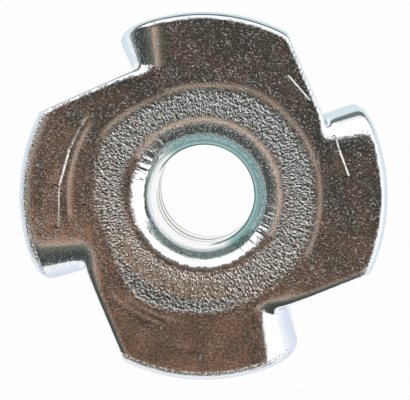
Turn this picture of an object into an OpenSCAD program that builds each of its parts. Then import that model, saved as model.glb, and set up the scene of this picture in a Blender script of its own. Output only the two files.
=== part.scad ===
// Drive-in tee nut with four prongs, stamped and drawn in one piece from steel strip.
// It stands on the end of its barrel with the flange up. Z is the axis of the thread,
// and the lobes of the flange point along X and Y.

/* [Flange] */
// Diameter of the round flange
flange_d = 19; // [17.5:0.5:24]
// Thickness of the strip that the nut is stamped from
sheet = 1.2; // [0.9:0.05:1.4]
// Radius of the edge rolled over round the rim
rim_roll = 0.4; // [0.1:0.05:0.6]
// Radius of the edge rolled over along each slit
slit_roll = 0.3; // [0.1:0.05:0.5]
// Diameter of the shallow dish pressed round the mouth
dish_d = 12.3; // [10:0.1:12.6]
// Depth of the dish
dish_depth = 0.06; // [0.02:0.01:0.12]

/* [Barrel] */
// Height from the end of the barrel to the top of the flange
nut_h = 9; // [8:0.5:12]
// Outside diameter of the barrel
barrel_d = 7.7; // [7.2:0.1:8.4]
// Bore that the thread is cut into, the core of an M6 thread
bore_d = 5.15; // [4.9:0.05:5.25]
// Radius of the drawn mouth, where the bore flares out into the flange
mouth_r = 1.9; // [1.2:0.05:2.1]
// Radius of the fillet between the barrel and the flange
neck_r = 0.4; // [0.1:0.05:0.8]
// Radius of the rounded outer corner at the end of the barrel
foot_r = 0.4; // [0.1:0.05:0.5]
// Width of the chamfer that leads the screw into the bore
lead_in = 0.45; // [0.2:0.05:0.6]

/* [Prongs] */
// Number of prongs
prong_count = 4; // [2:1:4]
// Distance from the middle of a lobe to the line where its prong starts to bend
bend_y = 1.95; // [1.7:0.05:2.2]
// Distance from the nut's axis to the inner end of a slit, along the bend line
slit_x = 6.75; // [6.55:0.05:7]
// Lean of a slit from square to the bend line, in degrees
slit_lean = 22; // [16:1:26]
// How far the bend reaches in under the edge of the slit, so that no gap opens at its end
tuck = 0.5; // [0.3:0.05:0.7]
// Inside radius of the bend at the slit; the bend widens from there to the rim
bend_inside = 1.05; // [0.7:0.05:1.2]
// How much thinner than the flange a bend and its prong are, because the strip stretches there
thinning = 0.05; // [0.02:0.01:0.15]
// Half angle of the cone that the bend is a part of, in degrees
bend_cone = 14; // [10:1:17]
// Depth of the fibre that keeps its length in the bend, as a share of the prong's thickness
neutral = 0.78; // [0.6:0.01:0.85]

/* [Hidden] */
$fn = 96;
over = 0.6;                          // how far a cutter runs past what it cuts

flange_r = flange_d / 2;
barrel_r = barrel_d / 2;
bore_r = bore_d / 2;
under_z = nut_h - sheet;             // underside of the flange
floor_z = nut_h - dish_depth;        // floor of the dish
dish_wall = 4 * dish_depth;          // the dish rises to the flange over this width

// The bend is a quarter turn of a cone that touches the top of the flange along the bend line.
prong_t = sheet - thinning;
bend_r = bend_inside + prong_t * cos(bend_cone);   // outside radius at the slit
slit_slant = tidy(bend_r / sin(bend_cone));        // from the cone's tip to the slit
cone_x = slit_x - slit_slant;                      // the cone's tip on the bend line
bend_turn = 90;

// In the flat blank the bend takes up a narrow sector round the neutral fibre's own tip.
flat_tip = [cone_x + neutral * prong_t / tan(bend_cone), bend_y];
flat_turn = bend_turn * sin(bend_cone);

slit_end = [slit_x, bend_y];
slit_dir = [-sin(slit_lean), cos(slit_lean)];
slit_length = reach(slit_end, slit_dir, flange_r);
slit_corner = slit_end + slit_length * slit_dir;   // where the slit leaves the rim

// A length rounded to a thousandth, so that parts placed by it meet exactly
function tidy(length) = round(1000 * length) / 1000;
// Distance from p along the unit vector d to a circle of radius r round the origin
function reach(p, d, r) = -p * d + sqrt(pow(p * d, 2) - p * p + r * r);
// p swung round the centre c by an angle
function swing(p, c, angle) = c + [cos(angle) * (p.x - c.x) - sin(angle) * (p.y - c.y),
                                   sin(angle) * (p.x - c.x) + cos(angle) * (p.y - c.y)];

// What a square corner at the origin loses when it is rounded; the body lies at -X, -Y.
module corner_waste(r, past = over) {
    difference() {
        translate([-r, -r]) square(r + past);
        translate([-r, -r]) circle(r);
    }
}

// Half section of the drawn blank: barrel, flared mouth and flange
module blank_section() {
    difference() {
        union() {
            translate([bore_r, 0]) square([barrel_r - bore_r, nut_h]);
            translate([bore_r, under_z]) square([flange_r - bore_r, sheet]);
            difference() {
                translate([barrel_r, under_z - neck_r]) square(neck_r);
                translate([barrel_r + neck_r, under_z - neck_r]) circle(neck_r);
            }
        }
        translate([flange_r, nut_h]) corner_waste(rim_roll);
        translate([bore_r, floor_z]) mirror([1, 0]) corner_waste(mouth_r);
        translate([barrel_r, 0]) mirror([0, 1]) corner_waste(foot_r);
        polygon([[bore_r - over, floor_z], [dish_d / 2 - dish_wall, floor_z],
                 [dish_d / 2, nut_h], [dish_d / 2, nut_h + over], [bore_r - over, nut_h + over]]);
        polygon([[bore_r - over, -over], [bore_r + lead_in + over, -over],
                 [bore_r - over, lead_in + over]]);
    }
}

// Frame of the slit: Y runs along it from its inner end, and the window lies at +X.
module at_slit() {
    translate([slit_end.x, slit_end.y, 0]) rotate([0, 0, slit_lean]) children();
}

// Outline of the window that a prong leaves in the flange
module window_outline() {
    far = flange_r + over;
    polygon([slit_end, [far, bend_y], [far, far]]);
    at_slit() square(flange_d);
}

// Cutter that rolls over the top edge along a slit
module slit_edge_roll() {
    translate([0, 0, nut_h]) at_slit() translate([0, slit_length, 0]) rotate([90, 0, 0])
        linear_extrude(slit_length) corner_waste(slit_roll);
}

// Turns a flat piece of the lobe about the cone's axis, from the bend line downwards
module turned(angle) {
    translate([cone_x, bend_y, nut_h]) rotate([0, bend_cone - 90, 0]) rotate([0, 0, angle])
        children();
}

// Bent stretch between the flange and the prong, trimmed where it reaches the rim
module bend() {
    intersection() {
        turned(0) rotate_extrude(angle = bend_turn)
            rotate(bend_cone - 90) translate([slit_slant - tuck, -prong_t]) square([flange_d, prong_t]);
        rim_stock();
    }
}

// Flat prong below the bend: the blank between the slit and the rim, swung round to the bend
module prong() {
    tip = swing(slit_corner, flat_tip, -flat_turn);
    centre = swing([0, 0], flat_tip, -flat_turn);
    root = slit_end - [tuck, 0];
    past = over * (tip - root);
    turned(bend_turn) rotate([0, 90 - bend_cone, 0])
        translate([-cone_x, -bend_y, -prong_t]) linear_extrude(prong_t)
            intersection() {
                translate(centre) circle(flange_r);
                polygon([root, [flange_d, bend_y], [flange_d, tip.y], tip + past]);
            }
}

// Round stock with the flange's rolled edge
module rim_stock() {
    rotate_extrude() difference() {
        square([flange_r, nut_h]);
        translate([flange_r, nut_h]) corner_waste(rim_roll);
    }
}

module around() {
    for (i = [0:prong_count - 1]) rotate([0, 0, i * 360 / prong_count]) children();
}

module tee_nut() {
    color("silver") {
        difference() {
            rotate_extrude() blank_section();
            around() {
                translate([0, 0, under_z - over]) linear_extrude(sheet + 2 * over) window_outline();
                slit_edge_roll();
            }
        }
        around() {
            bend();
            prong();
        }
    }
}

tee_nut();
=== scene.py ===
import math

import bmesh
import bpy
from mathutils import Matrix, Vector


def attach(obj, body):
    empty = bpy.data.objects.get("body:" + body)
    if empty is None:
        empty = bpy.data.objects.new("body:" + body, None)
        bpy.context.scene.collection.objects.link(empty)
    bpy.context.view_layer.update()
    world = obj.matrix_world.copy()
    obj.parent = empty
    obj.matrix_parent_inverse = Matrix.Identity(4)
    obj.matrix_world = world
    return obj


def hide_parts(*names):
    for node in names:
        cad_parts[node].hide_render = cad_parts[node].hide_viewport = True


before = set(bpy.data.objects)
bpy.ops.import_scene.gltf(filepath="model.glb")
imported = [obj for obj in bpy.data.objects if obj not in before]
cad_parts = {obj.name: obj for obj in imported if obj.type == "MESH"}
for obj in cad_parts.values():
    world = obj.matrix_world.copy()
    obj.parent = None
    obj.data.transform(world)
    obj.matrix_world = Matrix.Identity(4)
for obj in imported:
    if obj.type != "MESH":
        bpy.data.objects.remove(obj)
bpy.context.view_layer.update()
print("frame loaded:", sorted(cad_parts))


# Small helpers. Meshes are worked in millimetres and brought to metres when they are done.

def wrap(bm, name):
    mesh = bpy.data.meshes.new(name)
    bm.to_mesh(mesh)
    bm.free()
    obj = bpy.data.objects.new(name, mesh)
    bpy.context.scene.collection.objects.link(obj)
    return obj


def unwrap(obj):
    bm = bmesh.new()
    bm.from_mesh(obj.data)
    bpy.data.objects.remove(obj)
    return bm


def bake(obj):
    bpy.context.view_layer.update()
    solved = obj.evaluated_get(bpy.context.evaluated_depsgraph_get())
    mesh = bpy.data.meshes.new_from_object(solved)
    obj.modifiers.clear()
    obj.data = mesh
    return obj


def loop(bm, corners):                                  # corners are (x, y, z, radius)
    spots = [Vector(c[:3]) for c in corners]
    verts = [bm.verts.new(p) for p in spots]
    for a, b in zip(verts, verts[1:] + verts[:1]):
        bm.edges.new((a, b))
    for i, vert in enumerate(verts):
        radius = corners[i][3]
        if radius:
            back = spots[i - 1] - spots[i]
            on = spots[(i + 1) % len(spots)] - spots[i]
            turn = math.pi - back.angle(on)
            bmesh.ops.bevel(bm, geom=[vert], offset=radius * math.tan(turn / 2), segments=10,
                            profile=0.5, affect="VERTICES", material=-1)
    return bm


def outward(bm):
    bmesh.ops.remove_doubles(bm, verts=bm.verts[:], dist=1e-5)
    bmesh.ops.recalc_face_normals(bm, faces=bm.faces[:])
    return bm


def smooth(t):
    t = min(1.0, max(0.0, t))
    return t * t * (3 - 2 * t)


# The drawn blank: barrel, mouth and round flange

blankSizes = {
    "height": 9.0, "sheet": 1.2, "rim": 9.5, "rimWide": 0.38, "rimDeep": 0.75, "underRim": 0.05,
    "barrel": 3.85, "neck": 0.4, "foot": 0.4, "core": 2.57, "leadIn": 0.43, "mouth": 1.8,
    "throat": 0.1, "throatFrom": 6.95, "throatTo": 6.86,      # small step where the mouth meets the thread
    "steps": 320, "voxel": 0.12, "fine": 0.8,
    "barrelClear": 4, "below": 0.2, "sagOver": 6,            # what the bending of the lobes leaves alone
}


def makeBlank(s):
    under = s["height"] - s["sheet"]
    throat = s["core"] + s["throat"]
    bm = loop(bmesh.new(), [
        (s["core"] + s["leadIn"], 0, 0, 0), (s["barrel"], 0, 0, s["foot"]),
        (s["barrel"], 0, under, s["neck"]), (s["rim"], 0, under, s["underRim"]),
        (s["rim"], 0, s["height"], s["rimWide"]), (throat, 0, s["height"], s["mouth"]),
        (throat, 0, s["throatFrom"], 0), (s["core"], 0, s["throatTo"], 0), (s["core"], 0, s["leadIn"], 0)])
    bmesh.ops.spin(bm, geom=bm.verts[:] + bm.edges[:], cent=(0, 0, 0), axis=(0, 0, 1),
                   angle=2 * math.pi, steps=s["steps"], use_merge=True, use_duplicate=False)
    for v in bm.verts:                                    # the rolled rim is deeper than it is wide
        drop = s["height"] - v.co.z
        if v.co.xy.length > s["rim"] - s["rimWide"] - 0.01 and drop < s["rimWide"] + 0.01:
            v.co.z = s["height"] - drop * s["rimDeep"] / s["rimWide"]
    return wrap(outward(bm), "blank")


def rimDrop(inside, s=blankSizes):
    t = 1 - min(1.0, max(0.0, inside / s["rimWide"]))
    return s["rimDeep"] * (1 - math.sqrt(1 - t * t))


# The thread cutter: a 60 degree ridge wound up the bore, right-handed, one millimetre a turn

threadSizes = {
    "pitch": 1.0, "major": 2.78, "inside": 2.3, "crestFlat": 0.125, "flankAngle": 30,
    "turns": 7.0, "start": -0.55, "steps": 96,
}


def makeThread(s):
    bm = bmesh.new()
    top = s["crestFlat"] / 2
    foot = top + (s["major"] - s["inside"]) * math.tan(math.radians(s["flankAngle"]))
    ring = [bm.verts.new(p) for p in (
        (s["inside"], 0, s["start"] - foot), (s["major"], 0, s["start"] - top),
        (s["major"], 0, s["start"] + top), (s["inside"], 0, s["start"] + foot))]
    face = bm.faces.new(ring)
    count = round(s["turns"] * s["steps"])
    cap = bmesh.ops.duplicate(bm, geom=[face])["geom"]
    bmesh.ops.reverse_faces(bm, faces=[g for g in cap if isinstance(g, bmesh.types.BMFace)])
    wire = [e for e in face.edges]
    bmesh.ops.delete(bm, geom=[face], context="FACES_ONLY")
    rise = s["pitch"] / s["steps"]
    out = bmesh.ops.spin(bm, geom=ring + wire, cent=(0, 0, 0), axis=(0, 0, 1), dvec=(0, 0, rise),
                         angle=2 * math.pi * count / s["steps"], steps=count, use_duplicate=False)
    last = [g for g in out["geom_last"] if isinstance(g, bmesh.types.BMEdge)]
    bmesh.ops.contextual_create(bm, geom=last)
    return wrap(outward(bm), "threadCutter")


# One window and one prong in a lobe's own frame: X runs out along the lobe, Y towards its prong.
# The bend is part of a cone; the slit ends part of the way round it, where the flank takes over.

prongSizes = {
    "thickness": 1.15, "neutral": 0.78,
    "slitStart": 0.8, "slitOver": 0.1, "corner": 0.28, "lap": 0.08, "flankAt": 4.2,
    "windowPast": 1.3, "windowOut": 11, "windowFrom": 7.2, "windowHigh": 3,
    "rollWide": (0.42, 0.3), "rollDeep": (0.15, 0.1),        # of the flank, at its root and at the rim
    "flankLong": 5.5, "flare": 0.35, "flareLong": 1.9,       # how the flank's roll grows towards the bend
    "sag": 0.0, "sagFrom": 0.75, "sagTo": 0.35,              # how softly the bend begins
    "sagTurn": (0.5, 1.6),                                   # where that fades out, round the corner
    "drapeFrom": (3.2, 1.5), "sagStart": (3.2, 0.8),         # nothing nearer to the axis is bent
    "overlap": 0.05, "edgeRound": (0.02, 0.15),              # edge along the slit: in the bend, below it
    "across": 40, "along": 100, "crowding": 1.8,             # mesh of a prong, closer towards the rim
}
# No two prongs are alike: where each bend starts, the tip and half angle of its cone, where its slit
# ends, and the place and lean of its flank
lobes = [
    {"bendLine": 2.15, "coneTip": 1.02, "cone": 19.8, "slit": 6.5, "flank": 6.22, "lean": 23.8,     # +X
     "rollWide": (0.34, 0.24), "rollDeep": (0.13, 0.09), "flare": 0.2, "corner": 0.2},
    {"bendLine": 1.95, "coneTip": 2.86, "cone": 23.5, "slit": 6.6, "flank": 6.25, "lean": 24.1,     # +Y
     "sag": 0.05, "sagFrom": 0.7},
    {"bendLine": 1.95, "coneTip": -0.32, "cone": 16, "slit": 6.3, "flank": 5.93, "lean": 23.2,      # -X
     "sag": 0.05},
    {"bendLine": 2.25, "coneTip": -0.72, "cone": 16.5, "slit": 6.1, "flank": 5.77, "lean": 22.1},   # -Y
]


def plan(s):                                            # what window, prong and flank share, from above
    lean, cone = math.radians(s["lean"]), math.radians(s["cone"])
    root = Vector((s["flank"], s["flankAt"]))
    along = Vector((-math.sin(lean), math.cos(lean)))
    half = -root.dot(along)
    reach = half + math.sqrt(half * half - root.length_squared + blankSizes["rim"] ** 2)
    tip = Vector((s["coneTip"], s["bendLine"]))
    grow = math.sin(cone) / math.cos(cone) ** 2          # the bend's radius grows this much a millimetre
    radius = (s["slit"] - tip.x) * math.sin(cone)
    run = Vector((1, grow * s["slitStart"])).normalized()
    edge = Vector((s["slit"], s["bendLine"] + radius * s["slitStart"]))
    gap = edge - root
    crossing = root + along * (gap.x * run.y - gap.y * run.x) / (along.x * run.y - along.y * run.x)
    slope = math.atan2(run.y, run.x)
    halfCorner = (math.pi / 2 + lean - slope) / 2
    middle = slope + halfCorner
    arc = crossing + s["corner"] / math.sin(halfCorner) * Vector((math.cos(middle), math.sin(middle)))
    return {"lean": lean, "cone": cone, "root": root, "along": along, "rimCorner": root + reach * along,
            "tip": tip, "flatTip": tip + Vector((s["neutral"] * s["thickness"] / math.tan(cone), 0)),
            "run": run, "edge": edge, "crossing": crossing, "arc": arc, "radius": radius, "grow": grow}


def makeWindow(s, p):
    past = p["root"] + (p["rimCorner"] - p["root"]) * s["windowPast"]
    out, low = s["windowOut"], s["bendLine"]
    inner = p["edge"] + p["run"] * (s["lap"] / p["run"].x)
    outline = [(p["crossing"].x, p["crossing"].y, s["corner"]), (past.x, past.y, 0), (out, out, 0),
               (out, low, 0), (inner.x, low, 0), (inner.x, inner.y, 0)]
    bm = loop(bmesh.new(), [(x, y, s["windowFrom"], r) for x, y, r in outline])
    bmesh.ops.contextual_create(bm, geom=bm.edges[:])
    grown = bmesh.ops.extrude_face_region(bm, geom=bm.faces[:])["geom"]
    bmesh.ops.translate(bm, vec=(0, 0, s["windowHigh"]),
                        verts=[g for g in grown if isinstance(g, bmesh.types.BMVert)])
    return outward(bm)


def makeTongue(s, p):
    rim, tip, flatTip, cone = blankSizes["rim"], p["tip"], p["flatTip"], p["cone"]
    bent = math.acos(-math.tan(cone) ** 2) * math.sin(cone)          # until the prong hangs straight down
    point = flatTip + Matrix.Rotation(-bent, 2) @ (p["rimCorner"] - flatTip)
    edge = Vector((s["slit"], s["bendLine"]))            # inner end of the prong's free edge
    edgeDir = (point - edge).normalized()
    edgeNormal = Vector((edgeDir.y, -edgeDir.x))
    first, last = -s["overlap"], bent + math.atan2(point.y - flatTip.y, point.x - flatTip.x)

    def spanAt(turn):
        ray = Vector((math.cos(turn), math.sin(turn)))
        half = -flatTip.dot(ray)
        outer = half + math.sqrt(half * half - flatTip.length_squared + rim * rim)
        if turn <= bent:
            return s["slit"] - flatTip.x, outer
        ray = Vector((math.cos(turn - bent), math.sin(turn - bent)))
        return min(outer - 0.02, (edge - flatTip).dot(edgeNormal) / ray.dot(edgeNormal)), outer

    def bend(far, turn, depth):
        if turn <= 0:
            at = flatTip + far * Vector((math.cos(turn), math.sin(turn)))
            return Vector((at.x, at.y, blankSizes["height"] - depth))
        angle = min(turn, bent)
        rest = turn - angle
        flat = Vector((flatTip.x - tip.x + far * math.cos(rest), far * math.sin(rest), -depth))
        spin = Matrix.Rotation(angle / math.sin(cone), 3, Vector((-math.cos(cone), 0, math.sin(cone))))
        return Vector((tip.x, tip.y, blankSizes["height"])) + spin @ flat

    bm = bmesh.new()
    bmesh.ops.create_grid(bm, x_segments=s["across"], y_segments=s["along"], size=0.5)
    grown = bmesh.ops.extrude_face_region(bm, geom=bm.faces[:])["geom"]
    bmesh.ops.translate(bm, vec=(0, 0, -s["thickness"]),
                        verts=[g for g in grown if isinstance(g, bmesh.types.BMVert)])
    for v in bm.verts:
        u, w = v.co.x + 0.5, v.co.y + 0.5
        u = 1 - (1 - u) ** s["crowding"]
        turn = first + (last - first) * w
        near, far = spanAt(turn)
        at = near + (far - near) * u
        small = s["edgeRound"][turn > bent]
        slitDrop = small * (1 - math.sqrt(max(0.0, 1 - max(0.0, 1 - (at - near) / small) ** 2)))
        depth = max(-v.co.z, rimDrop(far - at), slitDrop) if v.co.z > -0.01 else -v.co.z
        v.co = bend(at, turn, depth)
    return outward(bm)


def drape(v, s, p):            # how far the sheet beside a window is drawn down, and its underside's share
    x, y = v.x, v.y
    if x < s["drapeFrom"][0] or y < s["drapeFrom"][1]:
        return 0.0, 0.0
    away = Vector((x, y)) - p["arc"]
    radius = p["radius"] + p["grow"] * (min(x, p["arc"].x) - s["slit"])
    if away.x >= 0 and away.y < 0:                       # the bend, carried on to the corner's middle
        radius = p["radius"] + p["grow"] * (x - s["slit"])
        t = min(s["slitStart"] + s["slitOver"], max(0.0, (y - s["bendLine"]) / radius))
        return radius * (1 - math.sqrt(1 - t * t)), 1.0
    side = Vector((math.cos(p["lean"]), math.sin(p["lean"])))
    onFlank = max(0.0, away.dot(p["along"]))
    if onFlank > 0:
        inside = -away.dot(side) - s["corner"]
        fan = s["flare"] * (1 - smooth(onFlank / s["flareLong"]))
    else:
        inside = away.length - s["corner"]
        angle = math.atan2(-away.y, -away.x)             # from the lean on the flank to square on the bend
        fan = s["flare"] + (1 - s["flare"]) * smooth((angle - p["lean"]) / (math.pi / 2 - p["lean"]))
    inside = max(0.0, inside)
    far = smooth(onFlank / s["flankLong"])
    wide = s["rollWide"][0] + (s["rollWide"][1] - s["rollWide"][0]) * far
    deep = s["rollDeep"][0] + (s["rollDeep"][1] - s["rollDeep"][0]) * far
    rolled = deep * max(0.0, 1 - inside / wide) ** 2
    t = min(1.0, max(0.0, s["slitStart"] - inside / radius))
    bent = radius * (1 - math.sqrt(1 - t * t))
    return rolled + (bent - rolled) * fan, fan


def sag(v, s, p):                                        # how far the flat sinks as the bend begins
    if v.x < s["sagStart"][0] or v.y < s["sagStart"][1]:
        return 0.0
    away, share = v.xy - p["arc"], 1.0
    if away.x < 0:
        share = 1 - smooth((math.atan2(-away.x, -away.y) - s["sagTurn"][0]) / s["sagTurn"][1])
        away.y = -away.length
    past = (p["arc"].y + away.y - s["bendLine"] + s["sagFrom"]) / (s["sagFrom"] + s["sagTo"])
    return s["sag"] * share * smooth(past)


def remesh(obj, size):
    skin = obj.modifiers.new("skin", "REMESH")
    skin.mode, skin.voxel_size, skin.adaptivity = "VOXEL", size, 0
    return bake(obj)


# Marks of the press on the top face, in millimetres: radii and depths, angles in degrees

reliefSizes = {
    "dishDeep": 0.076, "dishWall": 0.58, "from": 0.1,       # from: a share of the sheet's thickness
    # outline of the coined ring: radius at every 30 degrees, going round from +X
    "ring": (6.02, 6.02, 6.0, 5.7, 5.66, 6.05, 5.8, 5.45, 6.16, 5.95, 6.05, 6.1),
    # arcs that the punch has left: middle radius, inner and outer width, depth, first and last angle
    "arcs": ((7.14, 0.5, 0.2, 0.07, 141, 195), (7.0, 0.3, 0.25, 0.06, 222, 258),
             (6.62, 0.25, 0.2, 0.045, 226, 262), (8.3, 0.35, 0.25, 0.02, 156, 190),
             (7.9, 0.3, 0.3, 0.02, 252, 276)),
    "arcEnds": 9,
    "droop": (8.76, 0.2, 0.18, 185, 62), "droopEnds": 35,   # from, ease and slope; middle and spread
}


def ringAt(angle, s=reliefSizes):
    steps = s["ring"]
    at = angle / 360 * len(steps)
    i = int(at) % len(steps)
    return steps[i] + (steps[(i + 1) % len(steps)] - steps[i]) * smooth(at - int(at))


def reliefDrop(x, y, s=reliefSizes):
    far, angle = math.hypot(x, y), math.degrees(math.atan2(y, x)) % 360
    drop = s["dishDeep"] * (1 - smooth((far - ringAt(angle)) / s["dishWall"] + 0.5))
    for middle, inner, outer, deep, first, last in s["arcs"]:
        if first < angle < last and -inner < far - middle < outer:
            along = smooth((angle - first) / s["arcEnds"]) * smooth((last - angle) / s["arcEnds"])
            off = (middle - far) / inner if far < middle else (far - middle) / outer
            drop += deep * along * (1 - smooth(off))
    start, ease, slope, middle, spread = s["droop"]
    off, past = abs((angle - middle + 180) % 360 - 180), max(0.0, far - start)
    sunk = past * past / (2 * ease) if past < ease else past - ease / 2
    return drop + slope * sunk * smooth((spread - off) / s["droopEnds"])


mouthSizes = {
    "from": 3.42, "to": 2.85, "floor": 7.1, "deep": 0.9, "raise": 0.16,
    "middle": 182, "spread": 42, "ends": 15,
}


def mouthRaise(x, y, z, s=mouthSizes):          # the drawn mouth is flatter on one side
    far = math.hypot(x, y)
    if far > s["from"] or z < s["floor"]:
        return 0.0
    angle = abs((math.degrees(math.atan2(y, x)) - s["middle"] + 180) % 360 - 180)
    share = smooth((s["from"] - far) / (s["from"] - s["to"])) * smooth((z - s["floor"]) / s["deep"])
    return s["raise"] * share * (1 - smooth((angle - s["spread"] + s["ends"]) / (2 * s["ends"])))


def turnTo(bm, turn):
    bmesh.ops.rotate(bm, cent=(0, 0, 0), matrix=turn, verts=bm.verts[:])
    return bm


def soften(bm, verts, passes):
    for _ in range(passes):
        bmesh.ops.smooth_vert(bm, verts=verts, factor=0.5, use_axis_x=True, use_axis_y=True,
                              use_axis_z=True)


def cutBlank(b, prongs):
    blank = makeBlank(b)
    cutters = [wrap(turnTo(makeWindow(s, p), turn), "window") for s, p, turn in prongs]
    cutters.append(makeThread(threadSizes))
    for cutter in cutters:
        cut = blank.modifiers.new("cut", "BOOLEAN")
        cut.operation, cut.solver, cut.object = "DIFFERENCE", "EXACT", cutter
    bake(blank)
    for cutter in cutters:
        bpy.data.objects.remove(cutter)
    return unwrap(remesh(blank, b["voxel"] * b["fine"]))


# Where slit, flank and bend run into each other: the middle from the crossing, how low it reaches,
# and reaches with the passes that each gets

cornerSizes = {
    "middle": (0.15, 0.1), "over": 6.5, "rounds": ((0.75, 3), (0.6, 4), (0.45, 7)), "allOver": 2,
}


def softenCorners(bm, prongs, c):
    for s, p, turn in prongs:
        back = turn.inverted()
        near = []
        for v in bm.verts:
            local = back @ v.co
            away = (local.xy - p["crossing"] - Vector(c["middle"])).length
            if local.z > c["over"] and away < c["rounds"][0][0]:
                near.append((away, v))
        for reach, passes in c["rounds"]:
            soften(bm, [v for away, v in near if away < reach], passes)
    soften(bm, bm.verts[:], c["allOver"])


def makeNut(b, settings):
    sizes = [dict(settings, **lobe) for lobe in lobes]
    turns = [Matrix.Rotation(i * math.pi / 2, 3, "Z") for i in range(len(lobes))]
    prongs = [(s, plan(s), turn) for s, turn in zip(sizes, turns)]
    top, sheet = b["height"], b["sheet"]
    bm = cutBlank(b, prongs)
    print("blank cut:", len(bm.faces), "faces")
    for s, p, turn in prongs:
        back = turn.inverted()
        for v in bm.verts:
            if v.co.z > top - sheet - b["below"] and v.co.xy.length > b["barrelClear"]:
                drop, under = drape(back @ v.co, s, p)
                share = min(1.0, max(0.0, (v.co.z - (top - sheet)) / sheet))
                v.co.z -= drop * (under + (1 - under) * share)
    for s, p, turn in prongs:
        piece = wrap(turnTo(makeTongue(s, p), turn), "tongue")
        bm.from_mesh(piece.data)
        bpy.data.objects.remove(piece)
    bm = unwrap(remesh(wrap(bm, "nut"), b["voxel"]))
    print("one skin:", len(bm.faces), "faces")
    softenCorners(bm, prongs, cornerSizes)
    for s, p, turn in prongs:
        back = turn.inverted()
        if s["sag"]:
            for v in bm.verts:
                v.co.z -= sag(back @ v.co, s, p) * smooth(v.co.z - b["sagOver"])
    for v in bm.verts:
        share = (v.co.z - (top - sheet)) / sheet
        if share > reliefSizes["from"]:
            lift = mouthRaise(v.co.x, v.co.y, v.co.z)
            v.co.z += lift - reliefDrop(v.co.x, v.co.y) * min(1.0, share)
    bmesh.ops.scale(bm, vec=(0.001,) * 3, verts=bm.verts[:])
    bmesh.ops.recalc_face_normals(bm, faces=bm.faces[:])
    for face in bm.faces:
        face.smooth = True
    print("nut:", len(bm.faces), "faces")
    return wrap(bm, "nut")


nut = makeNut(blankSizes, prongSizes)


# Which finish and which painted light is where, kept on the mesh. In the first attribute, red is the
# coined ring, green the steep and bent faces, which the material paints near white as a painted
# reflection, blue the side towards -X-Y that it paints a lighter brown as a painted sheen, and alpha the
# depth of the ring's grain or, further out, of the grain on the edges. In the second, the colour tones the
# plating and paints shade and reflection into the mouth, and alpha is its share of flecks, painted pale as
# glints.

finishAndSheenSizes = {
    # coined ring: where it starts, on the upper and the lower side, and how it ends, fresh and worn
    "ringFrom": (3.95, 3.75), "lowSide": (175, 335), "lowEnds": 25, "ringRise": 0.5,
    "ringShort": (0.5, 0.12), "ringFall": (0.62, 0.35), "ringOver": 8.5,
    # where it is worn: angles and their ends, radii, how much, its tone, and the cooler strip outside
    "worn": (195, 295), "wornEnds": 20, "wornBand": (4.3, 5.3, 0.5), "wornDeep": 0.5, "wornTone": 1.25,
    "outerBand": (5.35, 6.1, 0.3), "outer": (0.27, 0.2, 0.16), "edgesFrom": 6.35,
    # slopes count as steep from and to these heights of the normal, on the dim and on the bright side; the
    # material paints steep faces near white, a painted reflection of the bright room
    "steepDim": (0.998, 0.972), "steepBright": (0.938, 0.905), "bright": 60, "sheenTo": 245, "sheenWide": 10,
    # sides of the sheet: slope, tones, and how far that spares what faces outwards within the rim
    "side": (0.7, 0.45), "sideCool": (0.78, 0.87, 0.91), "sideSheen": (0.82, 0.85, 0.94), "sideFrom": 3.6,
    "outFrom": 0.55, "outWide": 0.1, "outTo": 9.35, "outRim": 0.15, "outShare": 0.7,
    # flecks: gone on the bright bends and fewer on the dim ones, inside and outside a radius
    "brightClear": (0.93, 0.84), "dimClear": (0.6, 0.85), "dimFrom": 6.2,
    "lipTo": 4, "lipFrom": 3.12, "lipRise": 0.12, "lowLip": (200, 325), "lowLipEnds": 15,
    "lowLipBand": (2.88, 3.28, 0.1), "lowLipShare": 2,
    "barrelTo": 4.3, "barrelUnder": 7.6, "barrelShare": 0.15,
    # painted shade and painted reflection inside the mouth: dark tones round the funnel, teal towards
    # +X+Y, and dark bands down the bore, painted shadows of the thread: radii, first and last height,
    # angles, colour
    "mouthTo": 3.6, "mouthSoft": 0.1, "mouthEnds": 16,
    "mouth": (((2.4, 3.26), (6.9, 8.7), (-62, 128), (0.5, 0.68, 0.67)),
              ((2.88, 3.26), (7.6, 8.8), (204, 322), (0.38, 0.46, 0.45)),
              ((2.3, 2.7), (6.6, 7.1), (-80, 150), (0.42, 0.46, 0.44)),
              ((2.4, 2.76), (4.2, 4.9), (180, 330), (0.7, 0.68, 0.62)),
              ((2.4, 2.76), (2.4, 3.1), (150, 330), (0.55, 0.55, 0.5)),
              ((2.4, 2.9), (0.2, 0.8), (130, 340), (0.4, 0.42, 0.4))),
}


def band(value, low, high, soft):
    return smooth((value - low) / soft + 0.5) * smooth((high - value) / soft + 0.5)


def sector(angle, first, last, ends):
    return smooth((angle - first) / ends) * smooth((last - angle) / ends)


def mixed(pair, share):
    return pair[0] + (pair[1] - pair[0]) * share


def fleckShare(s, far, angle, z, normal, lit, steep):
    if lit:
        share = 1 - smooth((s["brightClear"][0] - normal.z) / (s["brightClear"][0] - s["brightClear"][1]))
    else:
        share = 1 - s["dimClear"][far >= s["dimFrom"]] * steep
    if far < s["lipTo"]:
        below = sector(angle, *s["lowLip"], s["lowLipEnds"])
        share = smooth((far - s["lipFrom"]) / s["lipRise"]) * (1 - steep if lit else 1) * (1 - below)
        share += s["lowLipShare"] * band(far, *s["lowLipBand"]) * below
    return share * (s["barrelShare"] if far < s["barrelTo"] and z < s["barrelUnder"] else 1)


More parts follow.
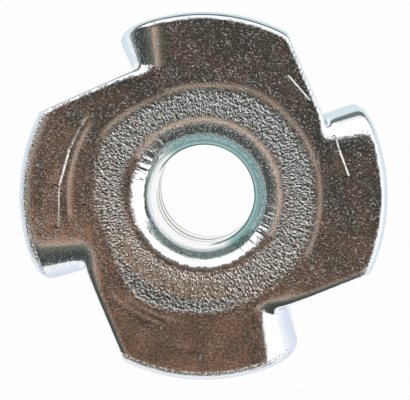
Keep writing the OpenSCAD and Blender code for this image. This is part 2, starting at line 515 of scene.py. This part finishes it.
def markFinishAndSheen(obj, s):
    mesh = obj.data
    marks = mesh.color_attributes.new("finishAndSheen", "FLOAT_COLOR", "POINT")
    tintsAndShade = mesh.color_attributes.new("tintAndShade", "FLOAT_COLOR", "POINT")
    towards, bright = math.radians(s["sheenTo"]), math.radians(s["bright"])
    for v in mesh.vertices:
        x, y, z = v.co * 1000
        normal = v.normal
        far, angle = math.hypot(x, y), math.degrees(math.atan2(y, x)) % 360
        # painted sheen: its share rises towards -X-Y, where the material paints the flange a lighter
        # brown, a painted reflection
        paintedSheen = smooth(0.5 + (x * math.cos(towards) + y * math.sin(towards)) / s["sheenWide"])
        low = sector(angle, *s["lowSide"], s["lowEnds"])
        worn = sector(angle, *s["worn"], s["wornEnds"])
        coined = smooth((far - mixed(s["ringFrom"], low)) / s["ringRise"])
        past = far - ringAt(angle) + mixed(s["ringShort"], worn)
        coined *= 1 - smooth(past / mixed(s["ringFall"], worn))
        outer = worn * band(far, *s["outerBand"])
        worn *= band(far, *s["wornBand"])
        lit = normal.x * math.cos(bright) + normal.y * math.sin(bright) > 0
        # steep faces get the near white painted reflection in the material; which side is bright follows
        # the room's bright side
        start, full = s["steepBright"] if lit else s["steepDim"]
        steep = smooth((start - normal.z) / (start - full))
        grain = 1 - s["wornDeep"] * worn if far < s["edgesFrom"] else 4 * steep * (1 - steep) * lit
        marks.data[v.index].color = (coined if z > s["ringOver"] else 0, steep, paintedSheen, grain)
        side = smooth((s["side"][0] - normal.z) / (s["side"][0] - s["side"][1])) * (far > s["sideFrom"])
        outwards = (normal.x * x + normal.y * y) / (math.hypot(normal.x, normal.y) * far or 1)
        side *= 1 - (s["outShare"] * smooth((outwards - s["outFrom"]) / s["outWide"])
                     * smooth((s["outTo"] - far) / s["outRim"]))
        # the sides' tones change with the same painted sheen
        tone = [mixed(pair, paintedSheen) for pair in zip(s["sideCool"], s["sideSheen"])]
        tintAndShade = [1 - side + side * t for t in tone]
        tintAndShade = [t * (1 + ((s["wornTone"] - 1) * worn - c * outer) * coined)
                for t, c in zip(tintAndShade, s["outer"])]
        # painted shade and painted reflection inside the mouth, multiplied into the colour
        if far < s["mouthTo"]:
            for radii, heights, turn, colour in s["mouth"]:
                middle, spread = (turn[0] + turn[1]) / 2, (turn[1] - turn[0]) / 2
                off = abs((angle - middle + 180) % 360 - 180)
                share = band(far, *radii, s["mouthSoft"]) * band(z, *heights, s["mouthSoft"])
                share *= smooth((spread - off) / s["mouthEnds"] + 0.5)
                tintAndShade = [t + (t * c - t) * share for t, c in zip(tintAndShade, colour)]
        tintsAndShade.data[v.index].color = (*tintAndShade, fleckShare(s, far, angle, z, normal, lit, steep))


markFinishAndSheen(nut, finishAndSheenSizes)
print("finish marked")


# Materials

def makeNode(nodes, kind, inputs=None, **settings):
    node = nodes.new("ShaderNode" + kind)
    for name, value in settings.items():
        setattr(node, name, value)
    for name, value in (inputs or {}).items():
        if isinstance(value, bpy.types.NodeSocket):
            node.id_data.links.new(value, node.inputs[name])
        else:
            node.inputs[name].default_value = value
    return node


def newMaterial(name):
    mat = bpy.data.materials.new(name)
    mat.use_nodes = True
    mat.node_tree.nodes.clear()
    return mat, mat.node_tree.nodes


def sums(nodes):                                          # arithmetic and soft steps for one node tree
    def calc(operation, a, b=0.0, c=0.0):
        return makeNode(nodes, "Math", {0: a, 1: b, 2: c}, operation=operation).outputs[0]

    def step(value, low, high):
        return makeNode(nodes, "MapRange", {"Value": value, "From Min": low, "From Max": high},
                        interpolation_type="SMOOTHSTEP").outputs[0]

    def rest(value):
        return calc("SUBTRACT", 1.0, value)

    def between(value, low, lowDone, high, highDone):
        return calc("MULTIPLY", step(value, low, lowDone), rest(step(value, high, highDone)))

    return calc, step, rest, between


zincLook = {
    # flat faces: two tones that cloud into each other, on the cool side and on the side towards -X-Y; all
    # are a painted reflection of the dark room overhead, lighter brown towards -X-Y as a painted sheen
    "cool": ((0.19, 0.22, 0.21, 1), (0.28, 0.25, 0.25, 1)),
    "paintedSheen": ((0.36, 0.3, 0.26, 1), (0.52, 0.4, 0.34, 1)),
    # fleck: the pale colour of the flecks, a painted glint
    "glintFleck": (0.75, 0.74, 0.72, 1), "bare": (0.9, 0.88, 0.84, 1),
    # the coined ring, lighter brown towards -X-Y as a painted sheen
    "coined": (0.53, 0.56, 0.56, 1), "coinedSheen": (0.6, 0.55, 0.51, 1),
    # bent: steep and bent faces painted near white, a painted reflection of the bright room
    "bent": (0.94, 0.96, 0.97, 1), "bentTone": (0.88, 0.2),
    "flatRough": 0.2, "coinedRough": 0.07, "bentRough": 0.1,
    "clouds": 0.7, "cloudStep": (0.38, 0.62), "fineTone": (-0.3, 2.5),
    # the grain of the skin, rougher on the bright edges; sizes are patterns a millimetre, depths in metres
    "skinGrain": 9.0, "skinDeep": 0.00002, "edgeDeep": 0.00011, "edgeBand": (6.35, 6.5, 8.9, 9.1),
    "coinRound": 42.0, "coinOut": 6.0, "coinDeep": 0.0002,
    # flecks, painted pale as glints over their bumps, stand in patches and thin out towards -Y; more of
    # them on the lip of the mouth
    "flecks": 10.5, "fleckStep": (0.575, 0.7), "fleckDeep": 0.00004,
    "patches": 1.3, "patchStep": (0.36, 0.58), "patchLeast": 0.3,
    "fleckFade": (-6.5, -3.0), "fadeLeast": 0.25,
    "calmFrom": (2.75, 2.9), "lipStep": (0.54, 0.66), "lipBand": (3.4, 3.8),
    # only above the barrel: drawn streaks round the mouth, and the rim's torn edge
    "upper": (7.6, 7.9), "streaks": 13.0, "streakOut": 0.8, "streakDeep": 0.00009,
    "streakBand": (2.95, 3.3, 3.5, 4.4), "rimBand": (9.04, 9.12, 9.24, 9.3), "rimDeep": 0.00008,
    # scratches: from and to in millimetres, depth and half width; the side that they shine towards
    "scratches": (((4.39, 6.27), (5.52, 4.98), 6e-5, 0.05), ((6.8, 3.2), (7.02, 2.46), 6e-5, 0.05),
                  ((7.02, 2.46), (7.53, 1.07), 7e-5, 0.06), ((0.54, 8.58), (0.62, 7.95), 2e-5, 0.05),
                  ((-0.36, -8.05), (-0.3, -8.9), 2e-5, 0.06), ((-0.12, -8.1), (-0.15, -8.85), 2e-5, 0.05),
                  ((-6.3, 3.6), (-6.85, 2.45), 3e-5, 0.06), ((-6.85, 2.45), (-7.4, 0.5), 5e-5, 0.07),
                  ((-7.4, 0.5), (-7.42, -1.6), 4e-5, 0.07)),
    "shine": (0.5, 0.87), "scratchTop": (8.5, 8.7), "scratchEnds": (-0.05, 0.1), "bareFrom": 6e-5,
    "ridgeWide": 9, "lineWide": 1.5,
}


def zincPlate(s):
    mat, nodes = newMaterial("zincPlate")
    calc, step, rest, between = sums(nodes)

    def blend(share, a, b):
        node = makeNode(nodes, "Mix", {"Factor": share}, data_type="RGBA")
        for socket, value in ((node.inputs["A"], a), (node.inputs["B"], b)):
            if isinstance(value, tuple):
                socket.default_value = value
            else:
                mat.node_tree.links.new(value, socket)
        return node.outputs["Result"]

    def vector(operation, a, b):
        node = makeNode(nodes, "VectorMath", {0: a, "Scale" if operation == "SCALE" else 1: b},
                        operation=operation)
        return node.outputs["Value" if operation == "DOT_PRODUCT" else "Vector"]

    def noise(where, scale, detail):
        return makeNode(nodes, "TexNoise", {"Vector": where, "Scale": scale, "Detail": detail,
                                            "Roughness": 0.55}).outputs[0]

    def polar(around, out):                               # a pattern that follows the nut's axis
        turn = makeNode(nodes, "CombineXYZ", {0: calc("DIVIDE", x, far), 1: calc("DIVIDE", y, far)})
        long = makeNode(nodes, "CombineXYZ", {2: calc("MULTIPLY", far, out)})
        return vector("ADD", vector("SCALE", turn.outputs[0], around), long.outputs[0])

    def scratch(start, end, wide):                        # its steep side catches the light
        run = Vector(end) - Vector(start)
        long = run.length
        run.normalize()
        off = vector("SUBTRACT", place.outputs[0], (*start, 0))
        along = vector("DOT_PRODUCT", off, (*run, 0))
        side = -1.0 if -run.y * s["shine"][0] + run.x * s["shine"][1] > 0 else 1.0
        across = calc("MULTIPLY", vector("DOT_PRODUCT", off, (-run.y, run.x, 0)), side)
        out, on = s["scratchEnds"]
        reach = calc("MULTIPLY", between(along, out, on, long - on, long - out), onTop.outputs[0])
        ridge = between(across, -wide, wide, wide, s["ridgeWide"] * wide)
        line = between(across, -s["lineWide"] * wide, 0, 0, s["lineWide"] * wide)
        return calc("MULTIPLY", reach, ridge), calc("MULTIPLY", reach, line)

    coord = makeNode(nodes, "TexCoord")
    place = makeNode(nodes, "Mapping", {"Vector": coord.outputs["Object"], "Scale": (1000, 1000, 1000)})
    spot = makeNode(nodes, "SeparateXYZ", {0: place.outputs[0]})
    x, y, z = spot.outputs
    far = calc("SQRT", calc("ADD", calc("MULTIPLY", x, x), calc("MULTIPLY", y, y)))
    upper = step(z, *s["upper"])
    onTop = makeNode(nodes, "MapRange", {"Value": z, "From Min": s["scratchTop"][0],
                                         "From Max": s["scratchTop"][1]})
    marks = makeNode(nodes, "VertexColor", layer_name="finishAndSheen")
    tintsAndShade = makeNode(nodes, "VertexColor", layer_name="tintAndShade")
    finishAndSheen = makeNode(nodes, "SeparateColor", {0: marks.outputs[0]})
    coined, steep, paintedSheen = finishAndSheen.outputs
    wear, fleckShare = marks.outputs["Alpha"], tintsAndShade.outputs["Alpha"]
    plain = rest(coined)
    calm = calc("MULTIPLY", calc("MULTIPLY", plain, fleckShare), step(far, *s["calmFrom"]))

    skin = noise(place.outputs[0], s["skinGrain"], 2.0)
    coin = calc("SUBTRACT", noise(polar(s["coinRound"], s["coinOut"]), 1.0, 1.2), 0.5)
    streak = noise(polar(s["streaks"], s["streakOut"]), 1.0, 1.5)
    cloud = noise(place.outputs[0], s["clouds"], 3.0)
    patch = step(noise(place.outputs[0], s["patches"], 1.0), *s["patchStep"])
    fleckNoise = noise(place.outputs[0], s["flecks"], 1.0)
    glintFleck = step(fleckNoise, *s["fleckStep"])
    for share, least in ((patch, s["patchLeast"]), (step(y, *s["fleckFade"]), s["fadeLeast"])):
        glintFleck = calc("MULTIPLY", glintFleck, calc("MULTIPLY_ADD", share, 1 - least, least))

    height = calc("MULTIPLY", calc("MULTIPLY", skin, s["skinDeep"]), calm)
    bare = 0.0
    for pattern, deep, where in (
            (glintFleck, s["fleckDeep"], calm),
            (skin, s["edgeDeep"], calc("MULTIPLY", wear, between(far, *s["edgeBand"]))),
            (coin, s["coinDeep"], calc("MULTIPLY", coined, wear)),
            (streak, s["streakDeep"], calc("MULTIPLY", upper, between(far, *s["streakBand"]))),
            (fleckNoise, s["rimDeep"], calc("MULTIPLY", calc("MULTIPLY", upper, paintedSheen),
                                            between(far, *s["rimBand"])))):
        height = calc("MULTIPLY_ADD", calc("MULTIPLY", pattern, deep), where, height)
    for start, end, deep, wide in s["scratches"]:
        ridge, line = scratch(start, end, wide)
        height = calc("MULTIPLY_ADD", ridge, deep, height)
        bare = calc("MAXIMUM", bare, calc("MULTIPLY", line, min(1, deep / s["bareFrom"])))
    bump = makeNode(nodes, "Bump", {"Strength": 1.0, "Distance": 1.0, "Height": height})

    # flat colour: a painted reflection of the dark room overhead, painted lighter brown towards -X-Y as a
    # painted sheen, also on the coined ring
    mottle = step(cloud, *s["cloudStep"])
    flat = blend(paintedSheen, blend(mottle, *s["cool"]), blend(mottle, *s["paintedSheen"]))
    flat = blend(coined, flat, blend(paintedSheen, s["coined"], s["coinedSheen"]))
    flat = vector("SCALE", flat, calc("MULTIPLY_ADD", skin, s["fineTone"][1], s["fineTone"][0]))
    # flecks painted pale: painted glints over their bumps
    flat = blend(calc("MULTIPLY", glintFleck, plain), flat, s["glintFleck"])
    flat = blend(bare, flat, s["bare"])
    # steep and bent faces painted near white, a painted reflection of the bright room; the tint then
    # multiplies in the painted shade of the mouth
    bent = calc("MULTIPLY_ADD", skin, s["bentTone"][1], s["bentTone"][0])
    bent = vector("SCALE", s["bent"][:3], bent)
    colour = vector("MULTIPLY", blend(steep, flat, bent), tintsAndShade.outputs[0])
    # pale painted glints on the steep lip of the mouth
    lipGlint = calc("MULTIPLY", calc("MULTIPLY", step(fleckNoise, *s["lipStep"]), steep),
               calc("MINIMUM", calm, 1.0))
    colour = blend(calc("MULTIPLY", lipGlint, rest(step(far, *s["lipBand"]))), colour, s["glintFleck"])
    rough = calc("MULTIPLY_ADD", coined, s["coinedRough"] - s["flatRough"], s["flatRough"])
    rough = calc("MULTIPLY_ADD", steep, s["bentRough"] - s["flatRough"], rough)
    metal = makeNode(nodes, "BsdfPrincipled", {"Base Color": colour, "Metallic": 1.0, "Roughness": rough,
                                               "Specular Tint": tintsAndShade.outputs[0],
                                               "Normal": bump.outputs[0]})
    makeNode(nodes, "OutputMaterial", {"Surface": metal.outputs[0]})
    return mat


nut.data.materials.append(zincPlate(zincLook))
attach(nut, "root")
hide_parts("tee_nut")
print("zinc plate on")


# Floor

# A sheet of white paper. Only glossy rays, so only the metal's reflections, see it painted dark in a gap
# beyond the nut and past its end, which comes sooner on the left: a painted reflection.

paperSizes = {
    "half": 0.6, "glow": 0.98, "colour": (0.86, 0.86, 0.86, 1), "rough": 0.9,
    "gap": (0.016, 0.022, 0.05, 0.06), "end": (0.03, 0.055), "dark": (0.17, 0.19, 0.19, 1),
}


def makeFloor(s):
    bm = bmesh.new()
    bmesh.ops.create_grid(bm, x_segments=8, y_segments=8, size=s["half"])
    floor = wrap(bm, "floor")
    mat, nodes = newMaterial("paper")
    calc, step, _, between = sums(nodes)
    path = makeNode(nodes, "LightPath")
    seen = calc("MAXIMUM", path.outputs["Is Camera Ray"], path.outputs["Is Glossy Ray"])
    paper = makeNode(nodes, "BsdfPrincipled", {"Base Color": s["colour"], "Roughness": s["rough"]})
    coord = makeNode(nodes, "TexCoord")
    spot = makeNode(nodes, "SeparateXYZ", {0: coord.outputs["Object"]})
    # painted reflection: glossy rays see the paper dark in the gap and past its end
    end = step(calc("MULTIPLY", spot.outputs[0], -1.0), *s["end"])
    shade = calc("MAXIMUM", between(spot.outputs[1], *s["gap"]), end)
    tone = makeNode(nodes, "Mix", {"Factor": calc("MULTIPLY", shade, path.outputs["Is Glossy Ray"])},
                    data_type="RGBA")
    tone.inputs["A"].default_value, tone.inputs["B"].default_value = (1, 1, 1, 1), s["dark"]
    glow = makeNode(nodes, "Emission", {"Color": tone.outputs["Result"], "Strength": 1.0})
    mix = makeNode(nodes, "MixShader", {0: calc("MULTIPLY", seen, s["glow"]), 1: paper.outputs[0],
                                        2: glow.outputs[0]})
    makeNode(nodes, "OutputMaterial", {"Surface": mix.outputs[0]})
    floor.data.materials.append(mat)
    return floor


makeFloor(paperSizes)
print("paper laid")


# Light: a soft room that is dark overhead, bright on one side and dim on the other. Each ramp gives
# the room's colour by the angle down from straight overhead.

roomLook = {
    "brightTowards": 60, "edge": (-0.17, 0.1), "strength": 1.3,
    "bright": ((0, (0.16, 0.14, 0.12)), (42, (0.16, 0.14, 0.12)), (49, (1, 1, 1)), (92, (1, 1, 1))),
    "dim": ((0, (0.16, 0.14, 0.12)), (6, (0.16, 0.14, 0.12)), (13, (0.33, 0.24, 0.19)),
            (21, (0.46, 0.335, 0.26)), (29, (0.46, 0.335, 0.26)), (38, (0.11, 0.12, 0.1)),
            (60, (0.05, 0.055, 0.052)), (80, (0.045, 0.05, 0.05)), (92, (0.1, 0.14, 0.14))),
}


def makeRoom(s):
    world = bpy.data.worlds.new("room")
    bpy.context.scene.world = world
    world.use_nodes = True
    nodes = world.node_tree.nodes
    nodes.clear()
    calc, step = sums(nodes)[:2]

    def ramp(value, stops):
        low, high = math.radians(stops[0][0]), math.radians(stops[-1][0])
        place = makeNode(nodes, "MapRange", {"Value": value, "From Min": low, "From Max": high})
        node = makeNode(nodes, "ValToRGB", {"Fac": place.outputs[0]})
        node.color_ramp.interpolation = "EASE"
        marks = node.color_ramp.elements
        while len(marks) < len(stops):
            marks.new(0.5)
        for mark, (at, colour) in zip(marks, stops):
            mark.position = at / stops[-1][0]
        for mark, (at, colour) in zip(marks, stops):
            mark.color = (*colour, 1)
        return node.outputs[0]

    coord = makeNode(nodes, "TexCoord")
    split = makeNode(nodes, "SeparateXYZ", {0: coord.outputs["Generated"]})
    fromTop = calc("ARCCOSINE", split.outputs[2])
    azimuth = calc("ARCTAN2", split.outputs[1], split.outputs[0])
    sideways = calc("COSINE", calc("SUBTRACT", azimuth, math.radians(s["brightTowards"])))
    mix = makeNode(nodes, "Mix", {"Factor": step(sideways, *s["edge"])}, data_type="RGBA")
    world.node_tree.links.new(ramp(fromTop, s["dim"]), mix.inputs["A"])
    world.node_tree.links.new(ramp(fromTop, s["bright"]), mix.inputs["B"])
    back = makeNode(nodes, "Background", {"Color": mix.outputs["Result"], "Strength": s["strength"]})
    makeNode(nodes, "OutputWorld", {"Surface": back.outputs[0]})


makeRoom(roomLook)
print("room lit")


# Camera

cameraSizes = {
    "from": (0.0436, 0.0573, 1), "at": (0.000124, -0.00016, 0.009), "away": 0.25,
    "lens": 427, "sensor": 36, "clip": (0.01, 10),
}


def makeCamera(s):
    back = Vector(s["from"]).normalized()
    right = Vector((0, 1, 0)).cross(back).normalized()
    data = bpy.data.cameras.new("camera")
    data.lens, data.sensor_width = s["lens"], s["sensor"]
    data.clip_start, data.clip_end = s["clip"]
    camera = bpy.data.objects.new("camera", data)
    place = Matrix((right, back.cross(right), back)).transposed().to_4x4()
    place.translation = Vector(s["at"]) + s["away"] * back
    camera.matrix_world = place
    bpy.context.scene.collection.objects.link(camera)
    bpy.context.scene.camera = camera


makeCamera(cameraSizes)
print("camera set")
bpy.context.scene.view_settings.view_transform = "Standard"
